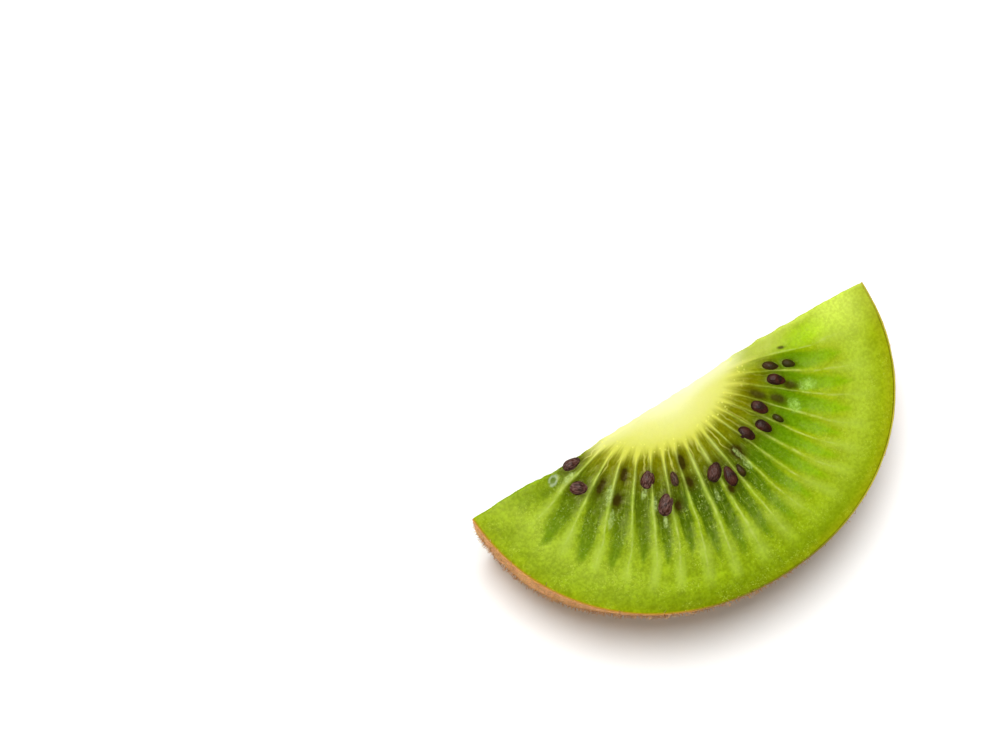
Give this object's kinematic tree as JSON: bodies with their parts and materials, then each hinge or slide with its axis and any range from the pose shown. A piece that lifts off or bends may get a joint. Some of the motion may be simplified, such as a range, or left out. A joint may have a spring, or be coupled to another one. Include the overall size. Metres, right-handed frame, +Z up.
{
  "type": "kiwi slice",
  "caption": "Half of a round slice of fresh kiwi fruit, cut straight across its pale core, with green flesh, dark seeds and fuzzy brown skin round the rim.",
  "frame": {"origin": "middle of the bounding box's base, on the smaller cut face that the slice lies on", "axes": "+X along the straight cut, +Y from the skin towards the straight cut, +Z up from the smaller cut face to the larger"},
  "size_m": [0.052, 0.0238, 0.0112],
  "materials": {
    "flesh": "moist, slightly translucent yellow-green flesh round a pale cream-yellow core with a combed edge, darker in the seed pockets and paler along the walls between them",
    "seed": "dark purple-brown, finely pitted, wet",
    "skin": "dull tan-brown rind with darker flecks and short golden-brown hairs"
  },
  "bodies": {
    "root": {"half_slice": "flesh"}
  },
  "joints": []
}
